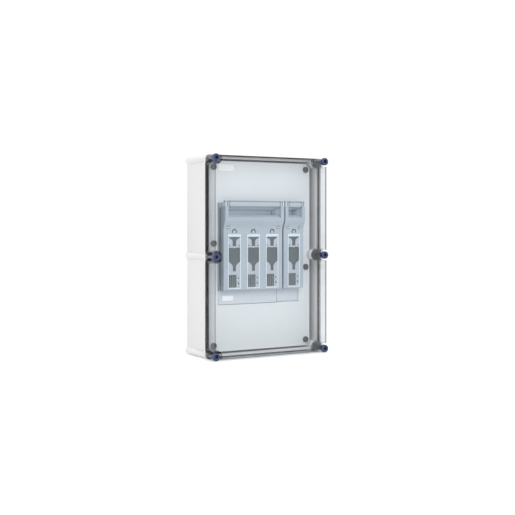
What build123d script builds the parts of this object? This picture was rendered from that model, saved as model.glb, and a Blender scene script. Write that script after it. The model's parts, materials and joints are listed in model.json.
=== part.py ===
from build123d import *
import math
import os

os.makedirs("parts", exist_ok=True)

# Wall-hung insulated enclosure with a clear screwed cover, a 3-pole and a 1-pole fuse switch.
# Millimetres. X to the right, Z up, the origin at the centre of the rear mounting face.
# A depth is a distance in front of the wall, so depth d lies at Y = -d.

# ---- Driving dimensions ----
WIDTH = 375.0
HEIGHT = 562.5
DEPTH = 175.0

RUNNING_GAP = 0.05          # radial clearance of everything that turns or slides
EASY_GAP = 0.3              # gap between pieces that are only dropped in

# ---- Enclosure base ----
SCREW_INSET = 11.0          # cover screw axis in from the envelope
SCREW_X = WIDTH / 2 - SCREW_INSET
SCREW_Z = HEIGHT / 2 - SCREW_INSET
BASE_DEPTH = 127.0
WALL_X = WIDTH / 2 - 5.5    # outer faces of the side walls
WALL_Z = HEIGHT / 2 - 5.5   # outer faces of the top and bottom walls
WALL = 3.5
FLOOR = 4.0
RIM = 9.0                   # thickness of the rim flange
RIM_STEP = 2.5              # the opening widens by this much at its mouth
RIM_STEP_DEEP = 6.0
CORNER_BOSS_R = 15.5
MID_BOSS_R = 15.0
MID_BOSS_X = 172.5
SCREW_R = 5.0
SCREW_TIP_DEPTH = 100.0
FIXING_X = 125.0
FIXING_Z = 250.0
FIXING_R = 3.5
FIXING_BOSS_R = 9.0
FIXING_BOSS_DEPTH = 8.0
KNOCKOUT_R = 16.0
KNOCKOUT_PITCH = 60.0
KNOCKOUT_GROOVE = 1.2

# ---- Seal ----
SEAL_INSET = 3.2
SEAL_WIDTH = 5.2
SEAL_SUNK = 2.5
SEAL_PROUD = 1.5

# ---- Clear cover ----
COVER_REAR = BASE_DEPTH + SEAL_PROUD
COVER_FLANGE = 6.0
COVER_X = 181.5
COVER_Z = 278.0
COVER_WALL = 3.0
POCKET_R = 15.75
COLUMN_R = 8.25
COLUMN_FRONT = 165.0
COVER_EDGE_R = 2.5

# ---- Cover screws ----
HEAD_R = 11.0
HEAD_RECESS_R = 5.9           # a round socket with two flats, deep enough for a wide driver
HEAD_RECESS_FLAT = 10.4
HEAD_RECESS_DEEP = 7.5

# ---- Mounting plate ----
PLATE_DEPTH = 30.0
PLATE_T = 2.0
PLATE_X = 138.0
PLATE_Z = 235.0
PLATE_PILLAR_X = 125.0
PLATE_PILLAR_Z = 222.0
PLATE_PILLAR_R = 8.0

# ---- Guard plate ----
GUARD_FRONT = 107.0
GUARD_T = 3.0
GUARD_X = 165.7
GUARD_Z = 266.5
GUARD_CUT_X = 9.0           # a slanting corner cut, then a short upright step
GUARD_CUT_Z = 7.0
GUARD_STEP_X = 1.5
GUARD_STEP_Z = 5.0
GUARD_NOTCH_R = 16.0
GUARD_SCREW_X = 151.5
GUARD_SCREW_Z = 249.0
GUARD_MID_Z = 36.0          # left one above the middle, right one below it
GUARD_HEAD_R = 8.75
GUARD_HEAD_PROUD = 6.0
GUARD_SHANK_R = 2.5
GUARD_SHANK_LONG = 12.0
PILLAR_R = 6.0

# ---- Fuse switches ----
POLE_PITCH = 61.0
SWITCH_3P_X = -36.8
SWITCH_1P_X = 96.1
POLE_1P_X = 97.3            # the single pole sits a little off the middle of its lid
LID_WIDTH_3P = 189.5
LID_WIDTH_1P = 66.6
BODY_SPAN_3P = (-137.0, 59.9)
BODY_SPAN_1P = (60.8, 135.0)
BODY_REAR = PLATE_DEPTH + PLATE_T
BODY_FRONT = 109.5
BODY_TOP = 148.0
BODY_BOTTOM = -96.0
BODY_WALL = 3.0
SHOULDER_Z = 134.0          # the base is closed in front above this height
PARTITION_FRONT = 104.0
PARTITION_TOP = 92.0         # leaves room for the finger recess of the lid

LID_REAR = 110.2
LID_FRONT = 130.0
HANDLE_FRONT = 141.0
LID_TOP = 155.0
LID_TOP_FLAT = 9.0          # the top is level for this far back, then slopes down to the rear
LID_BACK_TOP = 130.0
LID_BOTTOM = -95.0
LID_WALL = 2.5
LID_EDGE_R = 2.0
SWELL_START = 66.0          # the front swells forward between these two heights
SWELL_END = 112.0

HINGE_DEPTH = 120.0
HINGE_Z = -88.0
HINGE_R = 3.0
EAR_R = 6.5
EAR_T = 3.0

# ---- Handle ----
GRIP_BOTTOM = 139.5
GRIP_INSET = 7.2            # from the lid's side to the outside of the recess wall
RECESS_BACK = 99.0
RECESS_LOW = 101.0          # lower lip of the finger recess at the front
RECESS_BACK_LOW = 117.0
RECESS_BACK_HIGH = 128.0
RECESS_DRAFT = 8.0          # how far each end wall leans in towards the back
GRIP_RIB_PITCH = 6.5
GRIP_RIB_W = 3.0
GRIP_RIB_HIGH = 1.2
GRIP_NOTCH_HIGH = 4.0       # the gaps between the ribs are cut deeper along the top edge
GRIP_NOTCH_DEEP = 7.5
GRIP_SLOT_W = 2.6
GRIP_SLOT_DEEP = 9.0
GRIP_SLOTS = (5.9, 12.0)    # from the lid's side to the middle of each upright slot

# ---- Inspection windows ----
WINDOW_W = 42.0
WINDOW_TOP = 62.0
WINDOW_BOTTOM = -91.5
WINDOW_Z = (WINDOW_TOP + WINDOW_BOTTOM) / 2
WINDOW_H = WINDOW_TOP - WINDOW_BOTTOM
FRAME_LEDGE = 2.0
FRAME_T = 2.0
FRAME_CHEEK_T = 1.4         # the moulded parts inside the border are thinner than the border
FRAME_BORDER = 3.0
FRAME_BAND = 8.5            # the plain band across the top
FRAME_SEAT = 1.5
PANE_T = 1.5
OPENING_HALF = 17.8
TEST_RING_R = 4.4
TEST_PIN_R = 2.4
TEST_Z = 80.0
TEST_INSET = 13.5
ARCH_R = 7.5
ARCH_GAP = 3.0
ARCH_LEG = 3.5              # the two legs of the slot go this far below its centre

# ---- Fuse links ----
FUSE_Z = 4.0
FUSE_HALF_Z = 35.0
FUSE_W = 44.0
FUSE_REAR = 82.0
FUSE_FRONT = 124.0
CAP_T = 2.5
BLADE_T = 6.0
BLADE_REAR = 76.0
BLADE_FRONT = 98.0
BLADE_REACH = 67.0

# ---- Contacts and terminals ----
JAW_T = 1.5
JAW_LOW = 46.0              # both measured from the middle of the fuse link
JAW_HIGH = 64.0
JAW_REAR = 62.0
JAW_FRONT = 95.0
BAR_W = 25.0
BAR_T = 5.0
BAR_TOP_Z = 178.0
BAR_BOTTOM_Z = -132.0
SPRING_T = 1.5
NUT_ACROSS = 16.0
NUT_HIGH = 8.0
BOLT_HEAD_HIGH = 7.0
BOLT_REACH = 20.0           # how far the thread stands forward of its bar
WASHER_R = 10.0
WASHER_T = 2.0
TERMINAL_BOLT_R = 5.0
TERMINAL_TOP_Z = 163.0
TERMINAL_BOTTOM_Z = -116.0

# ---- Terminal shrouds ----
SHROUD_FRONT = 106.5
SHROUD_T = 2.0
SHROUD_DEEP = 22.0
SHROUD_TOP = -97.0
SHROUD_SPAN_3P = (-136.5, 53.0)
SHROUD_SPAN_1P = (54.0, 126.0)
SHROUD_LOW_3P = -135.5
SHROUD_LOW_1P = -134.0
CUTOUT_GAP = 1.2            # between the guard plate and the mouldings that stand through it

# ---- Earth bar ----
EARTH_Z = -185.0
EARTH_HALF = 70.0
EARTH_FOOT_X = 58.0
EARTH_REAR = 50.0
EARTH_T = 8.0
EARTH_H = 12.0
EARTH_SCREW_PITCH = 13.0
EARTH_SCREWS = 7
LABEL_T = 0.4

# ---- Places that are used again and again ----
CORNER_AXES = [(x, z) for x in (-SCREW_X, SCREW_X) for z in (-SCREW_Z, SCREW_Z)]
MID_AXES = [(-SCREW_X, 0.0), (SCREW_X, 0.0)]
SCREW_AXES = CORNER_AXES + MID_AXES
GUARD_AXES = [(x, z) for x in (-GUARD_SCREW_X, GUARD_SCREW_X) for z in (-GUARD_SCREW_Z, GUARD_SCREW_Z)]
GUARD_AXES += [(-GUARD_SCREW_X, GUARD_MID_Z), (GUARD_SCREW_X, -GUARD_MID_Z)]
PLATE_AXES = [(x, z) for x in (-PLATE_PILLAR_X, PLATE_PILLAR_X) for z in (-PLATE_PILLAR_Z, PLATE_PILLAR_Z)]
FIXING_AXES = [(x, z) for x in (-FIXING_X, FIXING_X) for z in (-FIXING_Z, FIXING_Z)]
POLES_3P = [SWITCH_3P_X + n * POLE_PITCH for n in (-1, 0, 1)]
POLES_1P = [POLE_1P_X]
POLES = POLES_3P + POLES_1P


# ---- Helpers ----
def slab(outline, rear, front):
    """An X-Z outline made solid between two depths."""
    return Pos(0, -rear, 0) * extrude(Plane.XZ * outline, front - rear)


def block(left, right, rear, front, low, high):
    """A box from its two X, two depth and two Z limits."""
    outline = Pos((left + right) / 2, (low + high) / 2) * Rectangle(right - left, high - low)
    return slab(outline, rear, front)


def rod(x, z, radius, rear, front):
    """A round bar that stands out from the wall."""
    return slab(Pos(x, z) * Circle(radius), rear, front)


def rods(axes, radius, rear, front):
    """One round bar on each axis of a list."""
    return [rod(x, z, radius, rear, front) for x, z in axes]


def along_x(outline, left, right):
    """A (Y, Z) outline made solid between two X limits."""
    return Pos(left, 0, 0) * extrude(Plane.YZ * outline, right - left)


def save(name, shape):
    """Write one piece, or one group of identical pieces."""
    if isinstance(shape, list):
        shape = Compound(children=[solid for item in shape for solid in item.solids()])
    export_step(shape, f"parts/{name}.step")


# ---- Enclosure ----
def envelope_outline():
    return RectangleRounded(WIDTH, HEIGHT, SCREW_INSET)


def base_opening():
    """The clear opening of the base, which steps inward around the six screw bosses."""
    outline = Rectangle(2 * (WALL_X - WALL), 2 * (WALL_Z - WALL))
    for x, z in CORNER_AXES:
        outline -= Pos(x, z) * Circle(CORNER_BOSS_R)
    for side in (-1, 1):
        outline -= Pos(side * MID_BOSS_X, 0) * Circle(MID_BOSS_R)
        outline -= Pos(side * (MID_BOSS_X + MID_BOSS_R), 0) * Rectangle(2 * MID_BOSS_R, 2 * MID_BOSS_R)
    return outline


def seal_outline(spare=0.0):
    """The ring that the seal fills, inboard of every screw. Spare makes it thinner on both sides."""
    outer = offset(base_opening(), SEAL_INSET + SEAL_WIDTH - spare)
    inner = offset(base_opening(), SEAL_INSET + spare)
    return outer - inner


def knockouts():
    """Ring grooves in the top and bottom walls, where a cable entry is broken out."""
    rings = []
    middle_depth = (BASE_DEPTH - RIM) / 2
    for side in (-1, 1):
        for n in (-2, -1, 0, 1, 2):
            at = Pos(n * KNOCKOUT_PITCH, -middle_depth, side * WALL_Z)
            ring = Cylinder(KNOCKOUT_R, 2 * KNOCKOUT_GROOVE)
            ring -= Cylinder(KNOCKOUT_R - KNOCKOUT_GROOVE, 2 * KNOCKOUT_GROOVE)
            rings.append(at * ring)
    return rings


def base_enclosure():
    base = slab(Rectangle(2 * WALL_X, 2 * WALL_Z), 0, BASE_DEPTH)
    base += rods(SCREW_AXES, SCREW_INSET, 0, BASE_DEPTH)
    base += slab(envelope_outline(), BASE_DEPTH - RIM, BASE_DEPTH)
    base -= slab(base_opening(), FLOOR, BASE_DEPTH)
    base -= slab(offset(base_opening(), RIM_STEP), BASE_DEPTH - RIM_STEP_DEEP, BASE_DEPTH)
    base -= slab(seal_outline(), BASE_DEPTH - SEAL_SUNK, BASE_DEPTH)
    base += rods(PLATE_AXES, PLATE_PILLAR_R, FLOOR, PLATE_DEPTH)
    base += rods(FIXING_AXES, FIXING_BOSS_R, FLOOR, FIXING_BOSS_DEPTH)
    base -= rods(SCREW_AXES, SCREW_R, SCREW_TIP_DEPTH - 2, BASE_DEPTH)
    base -= rods(PLATE_AXES, GUARD_SHANK_R, PLATE_DEPTH - GUARD_SHANK_LONG, PLATE_DEPTH)
    base -= rods(FIXING_AXES, FIXING_R, 0, FIXING_BOSS_DEPTH)
    base -= knockouts()
    return base


def cover_seal():
    return slab(seal_outline(RUNNING_GAP), BASE_DEPTH - SEAL_SUNK, COVER_REAR)


def cover_outline(inset=0.0):
    """The raised front of the cover, hollowed by a pocket around each screw."""
    outline = Rectangle(2 * (COVER_X - inset), 2 * (COVER_Z - inset))
    for x, z in SCREW_AXES:
        outline -= Pos(x, z) * Circle(POCKET_R + inset)
    return outline


def clear_cover():
    shell = slab(cover_outline(), COVER_REAR, DEPTH)
    shell = fillet(shell.faces().sort_by(Axis.Y)[0].edges(), COVER_EDGE_R)
    shell += slab(envelope_outline(), COVER_REAR, COVER_REAR + COVER_FLANGE)
    shell -= slab(cover_outline(COVER_WALL), COVER_REAR, DEPTH - COVER_WALL)
    shell += rods(SCREW_AXES, COLUMN_R, COVER_REAR, COLUMN_FRONT)
    shell -= rods(SCREW_AXES, SCREW_R, COVER_REAR, COLUMN_FRONT)
    return shell


def cover_screw(x, z):
    head = rod(x, z, HEAD_R, COLUMN_FRONT + RUNNING_GAP, DEPTH)
    head = chamfer(head.edges().filter_by(GeomType.CIRCLE), 0.8)
    socket = Circle(HEAD_RECESS_R) & Rectangle(HEAD_RECESS_FLAT, 2 * HEAD_RECESS_R)
    head -= slab(Pos(x, z) * socket, DEPTH - HEAD_RECESS_DEEP, DEPTH)
    return head + rod(x, z, SCREW_R - RUNNING_GAP, SCREW_TIP_DEPTH, COLUMN_FRONT + RUNNING_GAP)


# ---- Plates and their fasteners ----
def mounting_plate():
    outline = RectangleRounded(2 * PLATE_X, 2 * PLATE_Z, 6)
    for x, z in PLATE_AXES:
        outline -= Pos(x, z) * Circle(GUARD_SHANK_R + EASY_GAP)
    return slab(outline, PLATE_DEPTH, PLATE_DEPTH + PLATE_T)


def slotted_screw(x, z, under, head_r, head_high, shank_long):
    """A round-headed screw with one driving slot, its head's underside at the depth given."""
    head = rod(x, z, head_r, under, under + head_high)
    head = chamfer(head.faces().sort_by(Axis.Y)[0].edges(), head_high / 5)
    slot = block(x - head_r, x + head_r, under + head_high * 0.6, under + head_high, z - 1, z + 1)
    return head - slot + rod(x, z, GUARD_SHANK_R - RUNNING_GAP, under - shank_long, under)


def guard_outline():
    """The guard plate clears the screw bosses with cut corners and two round side notches."""
    corner = [
        (GUARD_X, GUARD_Z - GUARD_STEP_Z - GUARD_CUT_Z),
        (GUARD_X - GUARD_CUT_X, GUARD_Z - GUARD_STEP_Z),
        (GUARD_X - GUARD_CUT_X - GUARD_STEP_X, GUARD_Z),
    ]
    points = []
    for x, z in ((1, 1), (-1, 1), (-1, -1), (1, -1)):
        turned = [(x * across, z * up) for across, up in corner]
        points += turned if x * z > 0 else turned[::-1]
    outline = Polygon(*points, align=None)
    for side in (-1, 1):
        outline -= Pos(side * MID_BOSS_X, 0) * Circle(GUARD_NOTCH_R)
    for x, z in GUARD_AXES:
        outline -= Pos(x, z) * Circle(GUARD_SHANK_R + EASY_GAP)
    return outline


def guard_plate():
    plate = slab(guard_outline(), GUARD_FRONT - GUARD_T, GUARD_FRONT)
    for (left, right), low, high in (
        ((BODY_SPAN_3P[0], BODY_SPAN_1P[1]), BODY_BOTTOM, BODY_TOP),
        (SHROUD_SPAN_3P, SHROUD_LOW_3P, BODY_BOTTOM),
        (SHROUD_SPAN_1P, SHROUD_LOW_1P, BODY_BOTTOM),
    ):
        plate -= block(left - CUTOUT_GAP, right + CUTOUT_GAP, 0, DEPTH, low - CUTOUT_GAP, high + CUTOUT_GAP)
    return plate


def guard_pillars():
    pillars = []
    for x, z in GUARD_AXES:
        pillar = rod(x, z, PILLAR_R, FLOOR, GUARD_FRONT - GUARD_T)
        bore = rod(x, z, GUARD_SHANK_R, GUARD_FRONT - GUARD_T - GUARD_SHANK_LONG, GUARD_FRONT)
        pillars.append(pillar - bore)
    return pillars


def guard_screws():
    shank = GUARD_T + GUARD_SHANK_LONG - 2
    return [slotted_screw(x, z, GUARD_FRONT, GUARD_HEAD_R, GUARD_HEAD_PROUD, shank) for x, z in GUARD_AXES]


def mounting_screws():
    under = PLATE_DEPTH + PLATE_T
    return [slotted_screw(x, z, under, GUARD_SHANK_R * 2, 3.5, PLATE_T + 8) for x, z in PLATE_AXES]


# ---- Switch bases ----
def body_screw_axes(poles):
    """Two fixing screws on the centre line of each end pole."""
    return [(x, FUSE_Z + dz) for x in {poles[0], poles[-1]} for dz in (-20, 20)]


def hinge_ear(x):
    """The lug that carries a hinge pin, standing forward of the base. X is its middle."""
    plate = Pos(-HINGE_DEPTH, HINGE_Z) * Circle(EAR_R)
    reach = HINGE_DEPTH - BODY_FRONT + BODY_WALL * 2
    plate += Pos(-HINGE_DEPTH + reach / 2, HINGE_Z) * Rectangle(reach, 2 * EAR_R)
    plate -= Pos(-HINGE_DEPTH, HINGE_Z) * Circle(HINGE_R)
    return along_x(plate, x - EAR_T / 2, x + EAR_T / 2)


def ear_places(centre, lid_width):
    inset = lid_width / 2 - LID_WALL - EASY_GAP - EAR_T / 2
    return [centre - inset, centre + inset]


def switch_base(centre, lid_width, span, poles):
    left, right = span
    base = block(left, right, BODY_REAR, BODY_FRONT, BODY_BOTTOM, BODY_TOP)
    inner_top = BODY_TOP - BODY_WALL
    inner_low = BODY_BOTTOM + BODY_WALL
    inside = (left + BODY_WALL, right - BODY_WALL)
    base -= block(*inside, BODY_REAR + BODY_WALL, BODY_FRONT, inner_low, SHOULDER_Z)
    base -= block(*inside, BODY_REAR + BODY_WALL, BODY_FRONT - BODY_WALL, inner_low, inner_top)
    for a, b in zip(poles, poles[1:]):
        middle = (a + b) / 2
        wall = (middle - BODY_WALL / 2, middle + BODY_WALL / 2)
        base += block(*wall, BODY_REAR, PARTITION_FRONT, BODY_BOTTOM, PARTITION_TOP)
        base += block(*wall, BODY_REAR, RECESS_BACK - 2 * LID_WALL - EASY_GAP, PARTITION_TOP, BODY_TOP)
    for x in poles:
        for sign in (-1, 1):
            base += contact_seat(x, sign)
            base -= terminal_bar(x, sign, EASY_GAP)
    for x in ear_places(centre, lid_width):
        base += hinge_ear(x)
        base += block(x - EAR_T / 2, x + EAR_T / 2, BODY_FRONT - 12, BODY_FRONT, BODY_BOTTOM, HINGE_Z)
        bridge = sorted((x, left if x < centre else right))
        base += block(*bridge, BODY_FRONT - 9, BODY_FRONT - 3, BODY_BOTTOM, HINGE_Z + EAR_R)
    base -= rods(body_screw_axes(poles), GUARD_SHANK_R, BODY_REAR, BODY_REAR + BODY_WALL)
    return base


def switch_screws():
    under = BODY_REAR + BODY_WALL
    axes = body_screw_axes(POLES_3P) + body_screw_axes(POLES_1P)
    return [slotted_screw(x, z, under, 4.5, 3.0, BODY_WALL - 0.2) for x, z in axes]


# ---- Contacts ----
def contact_seat(x, sign):
    """The moulded block that a contact is seated on."""
    ends = sorted(FUSE_Z + sign * reach for reach in (JAW_LOW - 4, JAW_HIGH + 4))
    return block(x - BAR_W / 2 - 2, x + BAR_W / 2 + 2, BODY_REAR, JAW_REAR - BAR_T, *ends)


def terminal_bar(x, sign, spare=0.0):
    """The flat copper bar from a contact out to its terminal. Spare makes it larger all round."""
    inner = FUSE_Z + sign * (JAW_LOW - 2)
    outer = BAR_TOP_Z if sign > 0 else BAR_BOTTOM_Z
    low, high = sorted((inner - sign * spare, outer + sign * spare))
    half = BAR_W / 2 + spare
    front = JAW_REAR + spare
    return block(x - half, x + half, JAW_REAR - BAR_T, front, low, high)


def contact_jaw(x, sign):
    """Bar and fork in one copper piece: two leaves that grip the blade, and a bolt hole."""
    contact = terminal_bar(x, sign)
    low, high = sorted((FUSE_Z + sign * JAW_LOW, FUSE_Z + sign * JAW_HIGH))
    for side in (-1, 1):
        near = x + side * (BLADE_T / 2 + RUNNING_GAP)
        far = near + side * JAW_T
        contact += block(*sorted((near, far)), JAW_REAR - BAR_T, JAW_FRONT, low, high)
    hole_z = TERMINAL_TOP_Z if sign > 0 else TERMINAL_BOTTOM_Z
    return contact - rod(x, hole_z, TERMINAL_BOLT_R + EASY_GAP, 0, DEPTH)


def contact_jaws():
    return [contact_jaw(x, sign) for x in POLES for sign in (-1, 1)]


def jaw_spring(x, sign):
    """The two steel leaves that press a fork together, one on each side of it."""
    low, high = sorted((FUSE_Z + sign * (JAW_LOW + 4), FUSE_Z + sign * (JAW_HIGH - 4)))
    inner = BLADE_T / 2 + RUNNING_GAP + JAW_T
    outer = inner + SPRING_T
    leaves = []
    for side in (-1, 1):
        limits = sorted((x + side * inner, x + side * outer))
        leaves.append(block(*limits, JAW_REAR + 6, JAW_FRONT - 6, low, high))
    return leaves


def jaw_springs():
    return [leaf for x in POLES for sign in (-1, 1) for leaf in jaw_spring(x, sign)]


def terminal_axes():
    return [(x, z) for x in POLES for z in (TERMINAL_TOP_Z, TERMINAL_BOTTOM_Z)]


def hexagon(x, z):
    return Pos(x, z) * RegularPolygon(NUT_ACROSS / 2, 6, major_radius=False)


def terminal_bolts():
    bolts = []
    for x, z in terminal_axes():
        under = JAW_REAR - BAR_T
        head = slab(hexagon(x, z), under - BOLT_HEAD_HIGH, under)
        bolts.append(head + rod(x, z, TERMINAL_BOLT_R, under, JAW_REAR + BOLT_REACH))
    return bolts


def ring_piece(outline, x, z, rear, front):
    return slab(outline - Pos(x, z) * Circle(TERMINAL_BOLT_R + RUNNING_GAP), rear, front)


def terminal_washers():
    limits = (JAW_REAR, JAW_REAR + WASHER_T)
    return [ring_piece(Pos(x, z) * Circle(WASHER_R), x, z, *limits) for x, z in terminal_axes()]


def terminal_nuts():
    rear = JAW_REAR + WASHER_T
    return [ring_piece(hexagon(x, z), x, z, rear, rear + NUT_HIGH) for x, z in terminal_axes()]


# ---- Lids ----
def lid_profile(inset=0.0):
    """Side view of a lid, as (Y, Z). The inside of the shell is the same line set in by the wall."""
    rear = -LID_REAR
    front = -LID_FRONT + inset
    handle = -HANDLE_FRONT + inset
    knuckle = LID_REAR - HINGE_DEPTH
    low = LID_BOTTOM + inset
    turn = math.sqrt(knuckle**2 - (low - HINGE_Z) ** 2)
    mid = math.radians(20)
    back = Line((rear, LID_BACK_TOP - inset), (rear, HINGE_Z))
    mid_point = (-HINGE_DEPTH - knuckle * math.cos(mid), HINGE_Z + knuckle * math.sin(mid))
    foot = (-HINGE_DEPTH + turn, low)
    round_end = ThreePointArc(back @ 1, mid_point, foot)
    bottom = Line(foot, (front, low))
    panel = Line(bottom @ 1, (front, SWELL_START))
    bend = (SWELL_END - SWELL_START) / 2
    swell = Bezier(panel @ 1, (front, SWELL_START + bend), (handle, SWELL_END - bend), (handle, SWELL_END))
    nose = Line(swell @ 1, (handle, LID_TOP - inset))
    top = Polyline(nose @ 1, (-HANDLE_FRONT + LID_TOP_FLAT, LID_TOP - inset), back @ 0)
    return make_face([back, round_end, bottom, panel, swell, nose, top])


def finger_recess(grow=0.0):
    """Side view of the hollow behind the grip: a floor that curves up and back, and a low rear wall."""
    mouth = -HANDLE_FRONT - 1
    back = -RECESS_BACK + grow
    low = RECESS_LOW - grow
    back_low = RECESS_BACK_LOW - grow
    crest = (mouth + (back - mouth) / 3, back_low)
    floor = Bezier((mouth, low), (mouth + 2, low + 11), crest, (back, back_low))
    rear = Line(floor @ 1, (back, RECESS_BACK_HIGH + grow))
    roof = Line(rear @ 1, (mouth, GRIP_BOTTOM + grow))
    front = Line(roof @ 1, floor @ 0)
    return make_face([floor, rear, roof, front])


def recess_plan(left, right):
    """The recess seen from above: its two end walls lean in towards the back."""
    mouth = -HANDLE_FRONT - 1
    back = -RECESS_BACK + LID_WALL
    corners = [(left, mouth), (right, mouth), (right - RECESS_DRAFT, back), (left + RECESS_DRAFT, back)]
    return Pos(0, 0, RECESS_LOW - 2 * LID_WALL) * extrude(Polygon(*corners, align=None), LID_TOP - RECESS_LOW)


def window_outline(x, inset):
    return Pos(x, WINDOW_Z) * RectangleRounded(WINDOW_W - 2 * inset, WINDOW_H - 2 * inset, 1.5)


def fuse_carrier(x):
    """Two rails and two shelves inside the lid that hold one fuse link."""
    half = FUSE_W / 2 + EASY_GAP
    carrier = []
    for side in (-1, 1):
        limits = sorted((x + side * half, x + side * (half + LID_WALL)))
        carrier.append(block(*limits, LID_REAR, LID_FRONT - LID_WALL, FUSE_Z - 60, FUSE_Z + 56))
        near = FUSE_HALF_Z + CAP_T
        shelf = sorted(FUSE_Z + side * reach for reach in (near, near + LID_WALL))
        carrier.append(block(x - half, x + half, LID_REAR + 3, FUSE_FRONT - 4, *shelf))
    return carrier


def thumb_arch(x):
    """A horseshoe slot above a window, which frees a springy tongue."""
    ring = Circle(ARCH_R) - Circle(ARCH_R - ARCH_GAP)
    ring &= Pos(0, (ARCH_R - ARCH_LEG) / 2) * Rectangle(2 * ARCH_R, ARCH_R + ARCH_LEG)
    return slab(Pos(x, WINDOW_TOP + ARCH_R - 1) * ring, LID_REAR, HANDLE_FRONT)


def test_points(centre, lid_width):
    """Two test points near the lid's sides: a pin in a round opening, held on its right side."""
    reach = lid_width / 2 - TEST_INSET
    opening = Circle(TEST_RING_R) - Circle(TEST_PIN_R)
    opening -= Pos(TEST_RING_R, 0) * Rectangle(TEST_RING_R, TEST_PIN_R)
    return [slab(Pos(centre + side * reach, TEST_Z) * opening, LID_REAR, HANDLE_FRONT) for side in (-1, 1)]


def grip_bar(left, right):
    """The bar across the top of a lid: a lowered front and top with upright ribs standing on it."""
    bar = block(left, right, LID_REAR, HANDLE_FRONT, GRIP_BOTTOM, LID_TOP)
    bar &= along_x(lid_profile(GRIP_RIB_HIGH), left, right)
    count = int((right - left) / GRIP_RIB_PITCH)
    start = (left + right - (count - 1) * GRIP_RIB_PITCH) / 2
    for n in range(count):
        x = start + n * GRIP_RIB_PITCH
        limits = (x - GRIP_RIB_W / 2, x + GRIP_RIB_W / 2)
        rib = block(*limits, LID_REAR, HANDLE_FRONT, GRIP_BOTTOM + GRIP_RIB_HIGH, LID_TOP)
        bar += rib & along_x(lid_profile(), *limits)
        gap = (limits[1], limits[1] + GRIP_RIB_PITCH - GRIP_RIB_W)
        if n < count - 1:
            notch = (HANDLE_FRONT - GRIP_NOTCH_DEEP, HANDLE_FRONT, LID_TOP - GRIP_NOTCH_HIGH, LID_TOP)
            bar -= block(*gap, *notch)
    return bar


def lid(centre, width, poles):
    left = centre - width / 2
    right = centre + width / 2
    shell = along_x(lid_profile(), left, right)
    top_front_edge = shell.edges().filter_by(Axis.X).sort_by(Axis.Z)[-1]
    shell = fillet(top_front_edge, LID_EDGE_R)
    shell -= along_x(lid_profile(LID_WALL), left + LID_WALL, right - LID_WALL)
    grip = (left + GRIP_INSET, right - GRIP_INSET)
    inside = (grip[0] + LID_WALL, grip[1] - LID_WALL)
    room = along_x(lid_profile(), *grip)
    behind = (RECESS_BACK - LID_WALL, LID_REAR + LID_WALL)
    room += block(*grip, *behind, RECESS_LOW - LID_WALL, LID_BACK_TOP + LID_WALL)
    shell += along_x(finger_recess(LID_WALL), *grip) & room & recess_plan(*grip)
    shell -= along_x(finger_recess(), *inside) & recess_plan(*inside)
    shell -= block(*inside, LID_REAR, HANDLE_FRONT, GRIP_BOTTOM, LID_TOP)
    shell += grip_bar(*inside)
    for side, edge in ((1, left), (-1, right)):
        for reach in GRIP_SLOTS:
            x = edge + side * reach
            limits = (x - GRIP_SLOT_W / 2, x + GRIP_SLOT_W / 2)
            shell -= block(*limits, HANDLE_FRONT - GRIP_SLOT_DEEP, HANDLE_FRONT, GRIP_BOTTOM, LID_TOP)
    for x in poles:
        shell -= slab(window_outline(x, -EASY_GAP), LID_FRONT - FRAME_SEAT, LID_FRONT + 1)
        shell -= slab(window_outline(x, FRAME_LEDGE), LID_REAR, LID_FRONT)
        shell -= thumb_arch(x)
        shell += fuse_carrier(x)
    shell -= test_points(centre, width)
    for x in ear_places(centre, width):
        slot = EAR_T / 2 + EASY_GAP
        low_end = (LID_BOTTOM - 1, HINGE_Z + EAR_R + 2)
        shell -= block(x - slot, x + slot, LID_REAR - 5, LID_FRONT - LID_WALL, *low_end)
    pin_hole = Pos(-HINGE_DEPTH, HINGE_Z) * Circle(HINGE_R + RUNNING_GAP)
    return shell - along_x(pin_hole, left - 1, right + 1)


def hinge_pins():
    pins = []
    for centre, width in ((SWITCH_3P_X, LID_WIDTH_3P), (SWITCH_1P_X, LID_WIDTH_1P)):
        for side in (-1, 1):
            outer = centre + side * width / 2
            inner = outer - side * (LID_WALL + EASY_GAP + EAR_T)
            pins.append(along_x(Pos(-HINGE_DEPTH, HINGE_Z) * Circle(HINGE_R), *sorted((outer, inner))))
    return pins


# ---- Windows ----
def funnel_opening(top, bottom, neck_half, neck_top):
    """A full-width top that narrows, by one curve on each side, to a neck."""
    half = OPENING_HALF
    lip_z = top - 2.0
    bends = ((neck_half + 6, lip_z - 3), (neck_half, neck_top + 6))
    right = Bezier((half, lip_z), *bends, (neck_half, neck_top))
    left = mirror(right, Plane.YZ)
    foot = Polyline(right @ 1, (neck_half, bottom), (-neck_half, bottom), left @ 1)
    lip = Polyline(left @ 0, (-half, top), (half, top), right @ 0)
    return make_face([right, foot, left, lip])


def frame_openings():
    """Every hole of a window frame, drawn about the window's centre line."""
    openings = funnel_opening(53.5, 27.5, 5.5, 40.0)
    openings += Pos(0, 4.5) * RectangleRounded(2 * OPENING_HALF, 39.0, 2.5)
    openings += funnel_opening(-14.0, -42.0, 4.7, -31.0)
    openings -= Pos(0, 25) * Rotation(0, 0, 45) * Rectangle(5, 5)
    openings += Pos(-5.5, -69.5) * RectangleRounded(2 * OPENING_HALF - 11.0, 35.0, 1.0)
    openings += Pos(13, -61) * Circle(2.3)
    openings += Pos(13, -76) * Rectangle(4, 6)
    for side in (-1, 1):
        openings += Pos(side * 14.8, 29.5) * Circle(2.1)
    return openings


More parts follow.
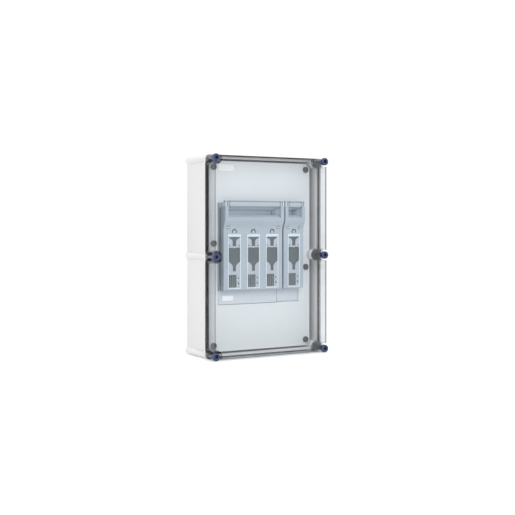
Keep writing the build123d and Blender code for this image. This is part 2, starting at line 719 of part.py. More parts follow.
def window_frame(x):
    """A raised border and top band round thinner cheeks, with a grille of bars at the foot."""
    rear = LID_FRONT - FRAME_SEAT
    holes = Pos(x, 0) * frame_openings()
    border = window_outline(x, 0) - window_outline(x, FRAME_BORDER)
    band_z = WINDOW_TOP - FRAME_BAND / 2
    border += Pos(x, band_z) * Rectangle(WINDOW_W - 2 * FRAME_BORDER, FRAME_BAND - 2)
    frame = slab(window_outline(x, 0) - holes, rear, rear + FRAME_CHEEK_T)
    frame += slab(border - holes, rear, rear + FRAME_T)
    for n in range(3):
        bar_x = x - 12 + n * 7
        frame += block(bar_x - 0.8, bar_x + 0.8, rear, rear + FRAME_CHEEK_T / 2, -87.5, -51.5)
    return frame


def window_pane(x):
    rear = LID_FRONT - FRAME_SEAT - PANE_T
    return slab(window_outline(x, FRAME_LEDGE + EASY_GAP / 2), rear, rear + PANE_T)


# ---- Fuse links ----
def fuse_body(x):
    outline = Pos(x, -(FUSE_REAR + FUSE_FRONT) / 2) * RectangleRounded(FUSE_W, FUSE_FRONT - FUSE_REAR, 6)
    return Pos(0, 0, FUSE_Z - FUSE_HALF_Z) * extrude(outline, 2 * FUSE_HALF_Z)


def fuse_caps(x):
    """The two metal end plates."""
    caps = []
    for sign in (-1, 1):
        near, far = (FUSE_Z + sign * reach for reach in (FUSE_HALF_Z, FUSE_HALF_Z + CAP_T))
        half = FUSE_W / 2 - 1
        caps.append(block(x - half, x + half, FUSE_REAR + 1, FUSE_FRONT - 1, *sorted((near, far))))
    return caps


def fuse_blades(x):
    blades = []
    for sign in (-1, 1):
        near, far = (FUSE_Z + sign * reach for reach in (FUSE_HALF_Z + CAP_T, BLADE_REACH))
        blades.append(block(x - BLADE_T / 2, x + BLADE_T / 2, BLADE_REAR, BLADE_FRONT, *sorted((near, far))))
    return blades


# ---- Shrouds, labels, earth bar ----
def terminal_shroud(span, bottom):
    """A cap over the lower terminals, open at the rear and towards the switch."""
    left, right = span
    rear = SHROUD_FRONT - SHROUD_DEEP
    cap = block(left, right, rear, SHROUD_FRONT, bottom, SHROUD_TOP)
    hollow = (left + SHROUD_T, right - SHROUD_T, rear, SHROUD_FRONT - SHROUD_T)
    return cap - block(*hollow, bottom + SHROUD_T, SHROUD_TOP)


def label(left, right, low, high, seat):
    return block(left, right, seat, seat + LABEL_T, low, high)


def earth_bar():
    ends = (EARTH_Z - EARTH_H / 2, EARTH_Z + EARTH_H / 2)
    bar = block(-EARTH_HALF, EARTH_HALF, EARTH_REAR, EARTH_REAR + EARTH_T, *ends)
    for x in earth_screw_places():
        bar -= rod(x, EARTH_Z, GUARD_SHANK_R, 0, DEPTH)
        wire_way = Pos(x, -(EARTH_REAR + EARTH_T / 2)) * Circle(GUARD_SHANK_R)
        bar -= Pos(0, 0, EARTH_Z - EARTH_H) * extrude(wire_way, 2 * EARTH_H)
    return bar


def earth_screw_places():
    middle = (EARTH_SCREWS - 1) / 2
    return [(n - middle) * EARTH_SCREW_PITCH for n in range(EARTH_SCREWS)]


def earth_screws():
    under = EARTH_REAR + EARTH_T
    return [slotted_screw(x, EARTH_Z, under, 4.0, 2.5, 2.5) for x in earth_screw_places()]


def earth_feet():
    rear = PLATE_DEPTH + PLATE_T
    ends = (EARTH_Z - EARTH_H / 2 - 2, EARTH_Z + EARTH_H / 2 + 2)
    return [block(x - 8, x + 8, rear, EARTH_REAR, *ends) for x in (-EARTH_FOOT_X, EARTH_FOOT_X)]


# ---- Write every piece ----
save("base_enclosure", base_enclosure())
save("cover_seal", cover_seal())
save("clear_cover", clear_cover())
ROW_NAMES = {-SCREW_Z: "bottom", 0.0: "middle", SCREW_Z: "top"}
for axis_x, axis_z in SCREW_AXES:
    side_name = "left" if axis_x < 0 else "right"
    save(f"cover_screw_{ROW_NAMES[axis_z]}_{side_name}", cover_screw(axis_x, axis_z))
save("mounting_plate", mounting_plate())
save("mounting_plate_screws", mounting_screws())
save("guard_pillars", guard_pillars())
save("guard_plate", guard_plate())
save("guard_plate_screws", guard_screws())
for tag, mid_x, lid_wide, body_span, pole_list in (
    ("3p", SWITCH_3P_X, LID_WIDTH_3P, BODY_SPAN_3P, POLES_3P),
    ("1p", SWITCH_1P_X, LID_WIDTH_1P, BODY_SPAN_1P, POLES_1P),
):
    save(f"switch_base_{tag}", switch_base(mid_x, lid_wide, body_span, pole_list))
    save(f"lid_{tag}", lid(mid_x, lid_wide, pole_list))
    save(f"window_frames_{tag}", [window_frame(x) for x in pole_list])
    save(f"window_panes_{tag}", [window_pane(x) for x in pole_list])
    save(f"fuse_bodies_{tag}", [fuse_body(x) for x in pole_list])
    save(f"fuse_end_caps_{tag}", [cap for x in pole_list for cap in fuse_caps(x)])
    save(f"fuse_blades_{tag}", [blade for x in pole_list for blade in fuse_blades(x)])
save("terminal_shroud_3p", terminal_shroud(SHROUD_SPAN_3P, SHROUD_LOW_3P))
save("terminal_shroud_1p", terminal_shroud(SHROUD_SPAN_1P, SHROUD_LOW_1P))
save("switch_screws", switch_screws())
save("lid_hinge_pins", hinge_pins())
save("contact_jaws", contact_jaws())
save("jaw_springs", jaw_springs())
save("terminal_bolts", terminal_bolts())
save("terminal_washers", terminal_washers())
save("terminal_nuts", terminal_nuts())
save("rating_label", label(-134.5, -87.5, 239.0, 257.0, GUARD_FRONT))
save("shroud_label", label(-124.0, -89.0, -125.0, -111.0, SHROUD_FRONT))
save("earth_bar", earth_bar())
save("earth_bar_screws", earth_screws())
save("earth_bar_feet", earth_feet())
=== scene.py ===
import json
import math

import bmesh
import bpy
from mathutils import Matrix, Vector


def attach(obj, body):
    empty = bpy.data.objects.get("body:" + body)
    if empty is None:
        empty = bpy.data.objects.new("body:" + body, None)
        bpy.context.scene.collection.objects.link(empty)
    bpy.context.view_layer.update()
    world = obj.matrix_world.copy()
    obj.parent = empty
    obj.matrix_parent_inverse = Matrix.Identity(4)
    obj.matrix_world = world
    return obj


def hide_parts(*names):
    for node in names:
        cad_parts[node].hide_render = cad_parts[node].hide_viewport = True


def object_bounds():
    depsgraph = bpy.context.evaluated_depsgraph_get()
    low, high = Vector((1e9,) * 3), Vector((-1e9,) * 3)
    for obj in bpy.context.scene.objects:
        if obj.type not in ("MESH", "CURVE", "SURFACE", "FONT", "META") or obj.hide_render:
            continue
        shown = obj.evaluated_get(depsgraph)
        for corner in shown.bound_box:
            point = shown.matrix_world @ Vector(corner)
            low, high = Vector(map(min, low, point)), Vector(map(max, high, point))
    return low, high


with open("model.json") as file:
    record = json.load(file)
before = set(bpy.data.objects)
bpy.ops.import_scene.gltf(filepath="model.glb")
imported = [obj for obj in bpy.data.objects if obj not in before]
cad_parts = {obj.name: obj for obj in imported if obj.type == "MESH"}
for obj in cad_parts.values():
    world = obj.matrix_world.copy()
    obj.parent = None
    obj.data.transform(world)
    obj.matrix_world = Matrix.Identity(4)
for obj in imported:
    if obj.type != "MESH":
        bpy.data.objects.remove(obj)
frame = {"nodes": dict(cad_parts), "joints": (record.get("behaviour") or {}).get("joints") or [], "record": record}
cad_low, cad_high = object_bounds()

MM = 0.001
BODY_OF = {node: body for body, nodes in frame["record"]["behaviour"]["bodies"].items() for node in nodes}
SLOT_OF = {part["node"]: part["material_slot"] for part in frame["record"]["subparts"]}
SCREWS = [node for node in frame["nodes"] if node.startswith("cover_screw_")]
SCREW_PLACES = [joint["pos_m"] for joint in frame["joints"] if joint["name"].startswith("cover_screw_")]
WHITE = (1.0, 1.0, 1.0, 1.0)

# Where one colour or shade gives way to another, in millimetres. The front of the object is at -Y.
HALF_WIDTH = cad_high.x / MM
HALF_HEIGHT = cad_high.z / MM
FRONT = cad_low.y / MM
COVER_FLANGE_FRONT = FRONT + 40.4       # the cover's flange lies behind this
COVER_SIDE_X = HALF_WIDTH - 10.7        # the cover's side walls lie outside this
COVER_WALL_END = FRONT + 2.6            # the rounded front end of those walls lies in front of this
BASE_INSIDE_X = HALF_WIDTH - 8.9        # just past the inner faces of the base's walls
BASE_INSIDE_Z = HALF_HEIGHT - 8.85
BASE_FLOOR_SKIN = -5.0                  # the base's floor lies behind this
SCREW_BLUE_REAR = -163.0                # the screws are blue in front of this
FRAME_FRONT = -129.5                    # the window frames are light in front of this
FRAME_WHITE_FRONT = -130.2
LID_3P_LEFT_WALL = -130.0               # painted shade: the lids' side walls are darker left of this, and between the next two; painted light makes the insides between them lighter
LID_3P_RIGHT_WALL = 52.0
LID_1P_LEFT_WALL = 68.0
LID_FRONT_SKIN = -128.0                 # the lids' front faces lie in front of this
GRIP_FOOT_Z = 139.0                     # the grip bars lie above this, and get a lighter colour there as painted light
GRIP_RIDGE_Z = 151.0                    # and the gaps between their small teeth above this
TEST_PIN_ROWS = ((-36.8, 81.25), (96.1, 19.8))      # middle of each lid, and how far its two pins are from it
TEST_PIN_Z = 80.0


# ---- Node graphs ----
class Graph:
    """The node graph of a material, or of a world, with one short call for each node."""

    def __init__(self, name, world=None):
        self.owner = world or bpy.data.materials.new(name)
        self.owner.use_nodes = True
        self.tree = self.owner.node_tree
        self.tree.nodes.clear()

    def node(self, kind, inputs=None, **settings):
        made = self.tree.nodes.new("ShaderNode" + kind)
        for key, value in settings.items():
            setattr(made, key, value)
        for key, value in (inputs or {}).items():
            socket = made.inputs[key]
            if isinstance(value, bpy.types.NodeSocket):
                self.tree.links.new(value, socket)
            else:
                socket.default_value = value
        return made

    def coords(self):
        return self.node("TexCoord").outputs["Object"]

    def split(self, vector):
        return self.node("SeparateXYZ", {"Vector": vector}).outputs

    def normal(self):
        return self.split(self.node("NewGeometry").outputs["Normal"])

    def solid(self, colour):
        made = self.node("RGB")
        made.outputs[0].default_value = colour
        return made.outputs[0]

    def noise(self, scale, detail=2.0, vector=None):
        made = self.node("TexNoise", {"Scale": scale, "Detail": detail, "Vector": vector or self.coords()})
        return made.outputs["Fac"]

    def remap(self, value, low, high, from_low=0.3, from_high=0.7):
        inputs = {"Value": value, "From Min": from_low, "From Max": from_high, "To Min": low, "To Max": high}
        return self.node("MapRange", inputs).outputs["Result"]

    def maths(self, operation, a, b=0.0, c=0.0):
        return self.node("Math", {0: a, 1: b, 2: c}, operation=operation).outputs[0]

    def magnitude(self, value):
        return self.maths("ABSOLUTE", value)

    def all_of(self, *masks):
        joined = masks[0]
        for mask in masks[1:]:
            joined = self.maths("MULTIPLY", joined, mask)
        return joined

    def mix(self, factor, a, b):
        """Mixes two colours. In a colour Mix node they are the inputs 6 and 7, and the result is output 2."""
        return self.node("Mix", {0: factor, 6: a, 7: b}, data_type="RGBA").outputs[2]

    def edge_mask(self, radius):
        """About 1 on sharp edges and 0 on flats, from either side of the surface."""
        rounded = self.node("Bevel", {"Radius": radius}, samples=4).outputs["Normal"]
        true = self.node("NewGeometry").outputs["Normal"]
        dot = self.node("VectorMath", {0: rounded, 1: true}, operation="DOT_PRODUCT").outputs["Value"]
        return self.remap(self.magnitude(dot), 1.0, 0.0, 0.82, 0.985)

    def bump(self, height, strength, distance):
        inputs = {"Height": height, "Strength": strength, "Distance": distance}
        return self.node("Bump", inputs).outputs["Normal"]

    def finish(self, shader, output="OutputMaterial"):
        self.node(output, {"Surface": shader})
        return self.owner


def shade(colour, gain):
    return (*[min(1.0, channel * gain) for channel in colour], 1.0)


# ---- Materials ----
def add_layers(g, tone, place, layers):
    """Each layer is (axis, limit in mm, colour): it recolours what is in front of, above or right of it."""
    for axis, limit, layer_colour in layers:
        side = "LESS_THAN" if axis == "Y" else "GREATER_THAN"
        tone = g.mix(g.maths(side, place[axis], limit * MM), tone, shade(layer_colour, 1.0))
    return tone


def add_dots(g, tone, place, dots, dots_front):
    """Each dot is (x, z, radius in mm, colour): it recolours a round spot in front of dots_front."""
    flat = g.node("CombineXYZ", {"X": place["X"], "Z": place["Z"]}).outputs[0]
    in_front = g.maths("LESS_THAN", place["Y"], dots_front * MM)
    for x, z, radius, dot_colour in dots:
        middle = (x * MM, 0, z * MM)
        away = g.node("VectorMath", {0: flat, 1: middle}, operation="DISTANCE").outputs["Value"]
        spot = g.all_of(g.maths("LESS_THAN", away, radius * MM), in_front)
        tone = g.mix(spot, tone, shade(dot_colour, 1.0))
    return tone


def add_crevice_shade(g, tone, colour, depth, strength):
    """Paints shade into hollows of about this depth in mm."""
    sky = g.node("AmbientOcclusion", {"Distance": depth * MM}, samples=8, only_local=True).outputs["AO"]
    return g.mix(g.remap(sky, strength, 0.0, 0.5, 0.88), tone, shade(colour, 0.08))


def add_notch(g, tone, place, colour, ridge, gain):
    """Shades the faces that look sideways and are above this height in mm."""
    sideways = g.maths("GREATER_THAN", g.magnitude(g.normal()["X"]), 0.7)
    high_up = g.maths("GREATER_THAN", place["Z"], ridge * MM)
    return g.mix(g.all_of(sideways, high_up), tone, shade(colour, gain))


def add_hollow(g, tone, place, colour, half_x, half_z, front, gain):
    """Shades everything within these half sizes and in front of this depth, all in mm."""
    masks = [g.maths("LESS_THAN", place["Y"], front * MM)]
    for axis, half in (("X", half_x), ("Z", half_z)):
        masks.append(g.maths("LESS_THAN", g.magnitude(place[axis]), half * MM))
    return g.mix(g.all_of(*masks), tone, shade(colour, gain))


def plastic(name, colour, rough=0.45, grain_mm=0.02, mottle=0.03, edge_highlight=1.12, coat=0.0, milky=0.0,
            layers=(), dots=(), dots_front=0.0, crevice_shade=None, notch=None, hollow=None):
    """Moulded plastic: fine eroded grain, slow colour drift, smoother rubbed edges, and edges made paler by a
    painted highlight.

    The add_ functions above explain the arguments from layers on.
    """
    g = Graph(name)
    drift = g.remap(g.noise(9.0, 3.0), 1 - mottle, 1 + mottle)
    place = g.split(g.coords())
    tone = add_layers(g, g.solid(shade(colour, 1.0)), place, layers)
    if dots:
        tone = add_dots(g, tone, place, dots, dots_front)
    tone = g.node("VectorMath", {0: tone, 3: drift}, operation="SCALE").outputs["Vector"]
    # painted shade in hollows and corners
    if crevice_shade:
        tone = add_crevice_shade(g, tone, colour, *crevice_shade)
    if notch:
        tone = add_notch(g, tone, place, colour, *notch)
    if hollow:
        tone = add_hollow(g, tone, place, colour, *hollow)
    specks = g.remap(g.noise(900.0, 1.0), 0.0, 0.12, 0.66, 0.8)
    tone = g.mix(specks, tone, shade(colour, 0.8))
    # Painted highlight: the edges get a paler colour; their lower roughness below stands for rubbing.
    edge = g.edge_mask(0.7 * MM)
    tone = g.mix(g.maths("MULTIPLY", edge, 0.4), tone, shade(colour, edge_highlight))
    uneven = g.remap(g.noise(45.0, 4.0), rough - 0.05, rough + 0.07)
    worn = g.maths("SUBTRACT", uneven, g.maths("MULTIPLY", edge, 0.08))
    inputs = {"Base Color": tone, "Roughness": worn, "Coat Weight": coat, "IOR": 1.5}
    inputs["Normal"] = g.bump(g.noise(2600.0, 2.0), 0.5, grain_mm * MM)
    inputs["Subsurface Weight"] = milky
    inputs["Subsurface Radius"] = (1.0, 1.0, 1.0)
    inputs["Subsurface Scale"] = 3 * MM
    return g.finish(g.node("BsdfPrincipled", inputs).outputs[0])


def trapped_light(g, place):
    """Nearly 1 on the front end of the cover's far side wall, seen from the other side, and 0 elsewhere."""
    toward = g.split(g.node("NewGeometry").outputs["Incoming"])["X"]
    far_wall = g.maths("LESS_THAN", g.maths("MULTIPLY", place["X"], toward), -0.03)
    in_wall = g.maths("GREATER_THAN", g.magnitude(place["X"]), COVER_SIDE_X * MM)
    at_end = g.maths("LESS_THAN", place["Y"], COVER_WALL_END * MM)
    return g.maths("MULTIPLY", g.all_of(far_wall, in_wall, at_end), 0.97)


def clear_plastic():
    """Clear polycarbonate: bright where it mirrors the room, open to light, with painted shade along its edges,
    standing in for the dark that refraction gives there, and over its flange.

    The far side wall traps the light that enters its front end, so that end is painted dark as seen from the other
    side.
    """
    g = Graph("cover_clear")
    ripple = g.bump(g.noise(14.0, 1.0), 0.12, 0.6 * MM)
    haze = g.remap(g.noise(60.0, 5.0), 0.02, 0.06, 0.45, 0.8)
    facing = g.node("LayerWeight", {"Blend": 0.5}).outputs["Facing"]
    rim = g.remap(facing, 0.0, 0.6, 0.84, 0.97)
    sides = g.remap(facing, 0.0, 0.14, 0.3, 0.48)
    edge = g.maths("MULTIPLY", g.edge_mask(1.4 * MM), 0.45)
    normal = g.normal()
    sideways = g.maths("MAXIMUM", g.magnitude(normal["X"]), g.magnitude(normal["Z"]))
    flatness = g.maths("MAXIMUM", sideways, g.magnitude(normal["Y"]))
    rounded = g.remap(flatness, 0.85, 0.0, 0.80, 0.99)
    place = g.split(g.coords())
    flange = g.maths("MULTIPLY", g.maths("GREATER_THAN", place["Y"], COVER_FLANGE_FRONT * MM), 0.45)
    wall_end = trapped_light(g, place)
    # Painted shade: the see-through colour darkens at grazing angles, on sharp and rounded edges, on the flange
    # and at the far wall's front end.
    dark = rim
    for mask in (sides, edge, rounded, flange, wall_end):
        dark = g.maths("MAXIMUM", dark, mask)
    see_through_and_painted_shade = g.mix(dark, (0.965, 0.975, 0.98, 1), (0.20, 0.21, 0.24, 1))
    through = g.node("BsdfTransparent", {"Color": see_through_and_painted_shade})
    mirror = g.node("BsdfGlossy", {"Color": WHITE, "Roughness": haze, "Normal": ripple})
    glancing = g.maths("MULTIPLY_ADD", g.maths("POWER", facing, 5.0), 0.9, 0.04)
    glancing = g.maths("MULTIPLY", glancing, g.maths("SUBTRACT", 1.0, wall_end))
    seen = g.node("MixShader", {0: glancing, 1: through.outputs[0], 2: mirror.outputs[0]})
    side_on = g.remap(sideways, 0.0, 1.0, 0.3, 0.8)
    passing = g.mix(side_on, (0.94, 0.955, 0.96, 1), (0.66, 0.67, 0.68, 1))
    open_way = g.node("BsdfTransparent", {"Color": passing})
    path = g.node("LightPath").outputs
    indirect = g.maths("MAXIMUM", path["Is Shadow Ray"], path["Is Diffuse Ray"])
    shader = g.node("MixShader", {0: indirect, 1: seen.outputs[0], 2: open_way.outputs[0]})
    return g.finish(shader.outputs[0])


def smoked_pane():
    """Smoked clear plastic: dark and glossy, with the piece behind it faintly showing."""
    g = Graph("pane_smoked")
    cloud = g.remap(g.noise(30.0, 3.0), 0.0, 1.0)
    tone = g.mix(cloud, (0.105, 0.130, 0.150, 1), (0.135, 0.160, 0.182, 1))
    swirl = g.bump(g.noise(120.0, 2.0), 0.25, 0.05 * MM)
    rough = g.remap(g.noise(350.0, 3.0), 0.06, 0.16)
    inputs = {"Base Color": tone, "Roughness": rough, "Normal": swirl, "Coat Weight": 0.6}
    body = g.node("BsdfPrincipled", inputs)
    through = g.node("BsdfTransparent", {"Color": (0.55, 0.60, 0.64, 1)})
    shader = g.node("MixShader", {0: 0.22, 1: body.outputs[0], 2: through.outputs[0]})
    return g.finish(shader.outputs[0])


def metal(name, colour, rough=0.32, brush=(1.0, 1.0, 30.0), stain=0.08):
    """Metal with drawn or rolled streaks, faint stains and edges brightened by a painted highlight."""
    g = Graph(name)
    stretched = g.node("Mapping", {"Vector": g.coords(), "Scale": brush}).outputs[0]
    streaks = g.noise(220.0, 4.0, stretched)
    stains = g.remap(g.noise(70.0, 4.0), 0.0, 1.0)
    tone = g.mix(g.maths("MULTIPLY", stains, stain), shade(colour, 1.0), shade(colour, 0.55))
    # Painted highlight along the edges.
    tone = g.mix(g.maths("MULTIPLY", g.edge_mask(0.4 * MM), 0.4), tone, shade(colour, 1.25))
    roughness = g.remap(streaks, rough - 0.08, rough + 0.12)
    inputs = {"Base Color": tone, "Metallic": 1.0, "Roughness": roughness}
    inputs["Normal"] = g.bump(streaks, 0.3, 0.02 * MM)
    return g.finish(g.node("BsdfPrincipled", inputs).outputs[0])


def galvanised():
    """Zinc-coated sheet with its patchwork of crystal grains."""
    g = Graph("zinc_steel")
    cells = g.node("TexVoronoi", {"Scale": 130.0, "Vector": g.coords()}).outputs["Color"]
    grey = g.node("RGBToBW", {"Color": cells}).outputs[0]
    tone = g.mix(grey, (0.46, 0.48, 0.50, 1), (0.66, 0.68, 0.70, 1))
    inputs = {"Base Color": tone, "Metallic": 0.9, "Roughness": g.remap(grey, 0.34, 0.5, 0.0, 1.0)}
    inputs["Normal"] = g.bump(grey, 0.15, 0.02 * MM)
    return g.finish(g.node("BsdfPrincipled", inputs).outputs[0])


def ceramic():
    """Cream glazed steatite with faint specks."""
    g = Graph("fuse_ceramic")
    specks = g.remap(g.noise(700.0, 2.0), 0.0, 0.5, 0.62, 0.75)
    tone = g.mix(specks, (0.80, 0.76, 0.66, 1), (0.52, 0.47, 0.38, 1))
    inputs = {"Base Color": tone, "Roughness": g.remap(g.noise(80.0, 3.0), 0.22, 0.4), "Coat Weight": 0.3}
    inputs["Normal"] = g.bump(g.noise(400.0, 2.0), 0.3, 0.03 * MM)
    return g.finish(g.node("BsdfPrincipled", inputs).outputs[0])


def foam_rubber():
    """Dark foamed seal with open pores."""
    g = Graph("seal_rubber")
    pores = g.node("TexVoronoi", {"Scale": 1400.0, "Vector": g.coords()}).outputs["Distance"]
    tone = g.mix(g.remap(pores, 1.0, 0.0, 0.0, 0.3), (0.045, 0.046, 0.05, 1), (0.018, 0.018, 0.02, 1))
    inputs = {"Base Color": tone, "Roughness": 0.85, "Normal": g.bump(pores, 0.6, 0.15 * MM)}
    return g.finish(g.node("BsdfPrincipled", inputs).outputs[0])


def label_film():
    """Blank white film, a little glossy, with a slightly lifted texture."""
    g = Graph("label_film")
    tone = g.mix(g.remap(g.noise(40.0, 3.0), 0.0, 1.0), (0.90, 0.91, 0.92, 1), (0.95, 0.955, 0.96, 1))
    inputs = {"Base Color": tone, "Roughness": g.remap(g.noise(200.0, 3.0), 0.25, 0.4)}
    inputs["Normal"] = g.bump(g.noise(260.0, 1.0), 0.2, 0.04 * MM)
    return g.finish(g.node("BsdfPrincipled", inputs).outputs[0])


FRAME_LAYERS = (
    ("Y", FRAME_FRONT, (0.46, 0.51, 0.57)),
    ("Y", FRAME_WHITE_FRONT, (0.70, 0.78, 0.83)),
)
# Painted light and shade on the lids: the side walls get a darker copy of the blue-grey, the finger recesses and
# insides a lighter one, the grip bars a lighter one too, and the front faces below them a middle tone.
LID_SIDE_SHADE = (0.29, 0.335, 0.40)
LID_RECESS_LIGHT = (0.60, 0.66, 0.74)
LID_LIGHT_AND_SHADE = (
    ("X", LID_3P_LEFT_WALL, LID_RECESS_LIGHT),
    ("X", LID_3P_RIGHT_WALL, LID_SIDE_SHADE),
    ("X", LID_1P_LEFT_WALL, LID_RECESS_LIGHT),
    ("Y", LID_FRONT_SKIN, (0.42, 0.475, 0.545)),
    ("Z", GRIP_FOOT_Z, (0.57, 0.63, 0.71)),
)
PIN_COLOUR = (0.97, 0.98, 1.0)
PIN_SPOT_R = 2.9
TEST_PIN_X = [middle + side * reach for middle, reach in TEST_PIN_ROWS for side in (-1, 1)]
TEST_PINS = [(x, TEST_PIN_Z, PIN_SPOT_R, PIN_COLOUR) for x in TEST_PIN_X]
# Painted shade: the sockets in the screw heads are painted near-black.
SOCKET_SHADE_COLOUR = (0.002, 0.003, 0.012)
SOCKET_SPOT_R = 5.6
SCREW_SOCKET_SHADE = [(x / MM, z / MM, SOCKET_SPOT_R, SOCKET_SHADE_COLOUR) for x, _, z in SCREW_PLACES]
SCREW_LAYERS = (("Y", SCREW_BLUE_REAR, (0.016, 0.042, 0.150)),)

MATERIALS = {
    "base_plastic": plastic("base_plastic", (0.95, 0.935, 0.945), rough=0.5, grain_mm=0.03, mottle=0.015,
                            milky=0.6, crevice_shade=(25.0, 0.6),
                            hollow=(BASE_INSIDE_X, BASE_INSIDE_Z, BASE_FLOOR_SKIN, 0.78)),
    "cover_clear": clear_plastic(),
    "seal_rubber": foam_rubber(),
    "guard_plastic": plastic("guard_plastic", (0.76, 0.78, 0.80), rough=0.42, mottle=0.02),
    "dark_plastic": plastic("dark_plastic", (0.060, 0.066, 0.072), rough=0.4, edge_highlight=1.8),
    "switch_plastic": plastic("switch_plastic", (0.36, 0.41, 0.47), rough=0.5, edge_highlight=1.2),
    "lid_plastic": plastic("lid_plastic", LID_SIDE_SHADE, rough=0.42, edge_highlight=1.25, dots=TEST_PINS,
                           layers=LID_LIGHT_AND_SHADE, crevice_shade=(3.0, 0.5), notch=(GRIP_RIDGE_Z, 0.3)),
    "frame_plastic": plastic("frame_plastic", (0.17, 0.19, 0.21), rough=0.35, edge_highlight=1.6,
                             layers=FRAME_LAYERS),
    "shroud_plastic": plastic("shroud_plastic", (0.63, 0.67, 0.73), rough=0.45),
    "pillar_plastic": plastic("pillar_plastic", (0.40, 0.42, 0.45), rough=0.5),
    "screw_blue": plastic("screw_blue", (0.42, 0.45, 0.50), rough=0.28, coat=0.6, layers=SCREW_LAYERS,
                          dots=SCREW_SOCKET_SHADE, dots_front=SCREW_BLUE_REAR),
    "pane_smoked": smoked_pane(),
    "zinc_steel": galvanised(),
    "screw_steel": metal("screw_steel", (0.66, 0.67, 0.69)),
    "cap_metal": metal("cap_metal", (0.72, 0.73, 0.74), rough=0.38),
    "blade_metal": metal("blade_metal", (0.86, 0.85, 0.82), rough=0.22),
    "contact_copper": metal("contact_copper", (0.80, 0.48, 0.32), rough=0.35, stain=0.3),
    "earth_brass": metal("earth_brass", (0.80, 0.62, 0.30), rough=0.3, stain=0.2),
    "fuse_ceramic": ceramic(),
    "label_film": label_film(),
}


# ---- Pieces made from the frame ----
SHARP_FROM = 32.0        # degrees between faces that are not shaded as one surface
BEVEL_FROM = 35.0        # degrees between faces whose common edge is rounded
FLAT_WITHIN = 0.6        # degrees between triangles that are joined to one face


def new_piece(name, mesh, body, slot):
    piece = bpy.data.objects.new(name, mesh)
    bpy.context.scene.collection.objects.link(piece)
    mesh.materials.clear()
    mesh.materials.append(MATERIALS[slot])
    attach(piece, body)
    return piece


def smooth(mesh):
    for polygon in mesh.polygons:
        polygon.use_smooth = True
    mesh.set_sharp_from_angle(angle=math.radians(SHARP_FROM))


def finer(node, edge_mm):
    """A copy of a CAD node without its triangles and with rounded edges, which stands for the node."""
    source = frame["nodes"][node]
    bm = bmesh.new()
    bm.from_mesh(source.data)
    bmesh.ops.remove_doubles(bm, verts=bm.verts, dist=0.002 * MM)
    bmesh.ops.dissolve_limit(bm, angle_limit=math.radians(FLAT_WITHIN), verts=bm.verts, edges=bm.edges)
    mesh = bpy.data.meshes.new(node + "_fine")
    bm.to_mesh(mesh)
    bm.free()
    piece = new_piece(node + "_fine", mesh, BODY_OF[node], SLOT_OF[node])
    smooth(mesh)
    bevel = piece.modifiers.new("rounded_edges", "BEVEL")
    bevel.width = edge_mm * MM
    bevel.segments = 2
    bevel.limit_method = "ANGLE"
    bevel.angle_limit = math.radians(BEVEL_FROM)
    bevel.harden_normals = True
    bevel.use_clamp_overlap = True
    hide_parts(node)


# The radius of each node's rounded edges, in mm.
FINE_EDGES = {
    "base_enclosure": 0.8,
    "guard_plate": 0.5,
    "guard_plate_screws": 0.4,
    "lid_3p": 0.5,
    "lid_1p": 0.5,
    "window_frames_3p": 0.25,
    "window_frames_1p": 0.25,
    "terminal_shroud_3p": 0.5,
    "terminal_shroud_1p": 0.5,
    "switch_base_3p": 0.5,
    "switch_base_1p": 0.5,
}
for screw in SCREWS:
    FINE_EDGES[screw] = 0.4
for fine_node, edge in FINE_EDGES.items():
    finer(fine_node, edge)
for cad_node, cad_object in frame["nodes"].items():
    cad_object.data.materials.clear()
    cad_object.data.materials.append(MATERIALS[SLOT_OF[cad_node]])


# ---- Room ----
def stage_mesh(name, corners):
    mesh = bpy.data.meshes.new(name)
    mesh.from_pydata(corners, [], [(0, 1, 2, 3)])
    made = bpy.data.objects.new(name, mesh)
    bpy.context.scene.collection.objects.link(made)
    return made


def camera_only(graph):
    """1 for what the camera sees directly, 0 for light on its way between surfaces."""
    return graph.node("LightPath").outputs["Is Camera Ray"]


def floor():
    """White paper just under the object, a little brighter to the camera than its light makes it."""
    reach = 30.0
    z = cad_low.z - 0.5 * MM
    made = stage_mesh("floor", [(x * reach, y * reach, z) for x, y in ((-1, -1), (1, -1), (1, 1), (-1, 1))])
    g = Graph("floor_paper")
    tone = g.mix(g.noise(3.0), (0.86, 0.86, 0.86, 1), (0.88, 0.88, 0.88, 1))
    paper = g.node("BsdfDiffuse", {"Color": tone})
    glow = g.node("Emission", {"Color": WHITE, "Strength": g.maths("MULTIPLY", camera_only(g), 0.26)})
    shader = g.node("AddShader", {0: paper.outputs[0], 1: glow.outputs[0]})
    made.data.materials.append(g.finish(shader.outputs[0]))


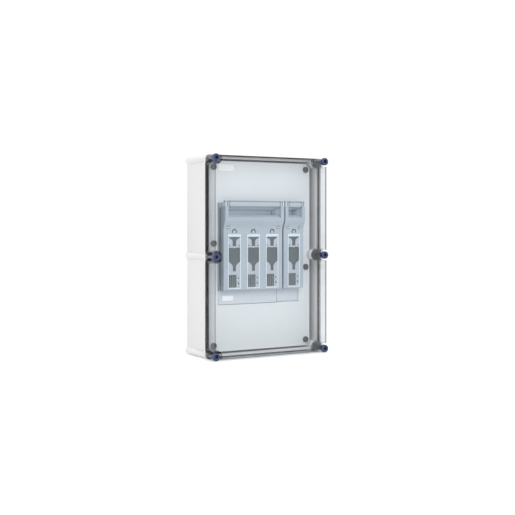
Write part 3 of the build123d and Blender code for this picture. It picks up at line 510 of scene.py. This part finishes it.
def area_light(name, place, target, size, power):
    light = bpy.data.lights.new(name, "AREA")
    light.shape = "RECTANGLE"
    light.size, light.size_y = size
    light.energy = power
    made = bpy.data.objects.new(name, light)
    made.location = place
    made.rotation_mode = "QUATERNION"
    made.rotation_quaternion = (Vector(target) - Vector(place)).to_track_quat("-Z", "Y")
    bpy.context.scene.collection.objects.link(made)


def room_light():
    """A white room, a little brighter above and to the right, with a soft lamp in front and one on the right.

    The camera sees the room's walls at one even level, brighter than the light they give.
    """
    world = bpy.data.worlds.new("studio")
    g = Graph("studio", world)
    direction = g.node("TexCoord").outputs["Generated"]
    brighter_side = (0.05, 0.0, 0.08)
    lean = g.node("VectorMath", {0: direction, 1: brighter_side}, operation="DOT_PRODUCT").outputs["Value"]
    level = g.maths("ADD", lean, 0.85)
    backdrop = g.maths("MULTIPLY", camera_only(g), 1.1)
    strength = g.maths("MAXIMUM", level, backdrop)
    background = g.node("Background", {"Color": WHITE, "Strength": strength})
    g.finish(background.outputs[0], output="OutputWorld")
    bpy.context.scene.world = world
    area_light("key_light", place=(-0.7, -2.8, 1.7), target=(0, 0, 0), size=(1.6, 1.6), power=35)
    area_light("side_light", place=(2.2, -1.6, 0.6), target=(0, -0.1, 0), size=(1.2, 1.8), power=7)


EYE = (-1.316, -2.3885, 0.0907)      # in metres: left of the object, 2.58 m from the middle of its front
LOOK_RIGHT = 29.78                   # degrees from straight ahead
LENS_MM = 64.37
LENS_SHIFT = -0.0656                 # a shifted lens on a level camera keeps the uprights upright


def camera():
    """A level camera, as the eye of someone who looks at the front from the left."""
    data = bpy.data.cameras.new("camera")
    data.sensor_width = 36.0
    data.lens = LENS_MM
    data.shift_y = LENS_SHIFT
    made = bpy.data.objects.new("camera", data)
    made.location = EYE
    turn = math.radians(LOOK_RIGHT)
    direction = Vector((math.sin(turn), math.cos(turn), 0.0))
    made.rotation_mode = "QUATERNION"
    made.rotation_quaternion = direction.to_track_quat("-Z", "Y")
    bpy.context.scene.collection.objects.link(made)
    bpy.context.scene.camera = made


floor()
room_light()
camera()
bpy.context.scene.view_settings.view_transform = "Standard"
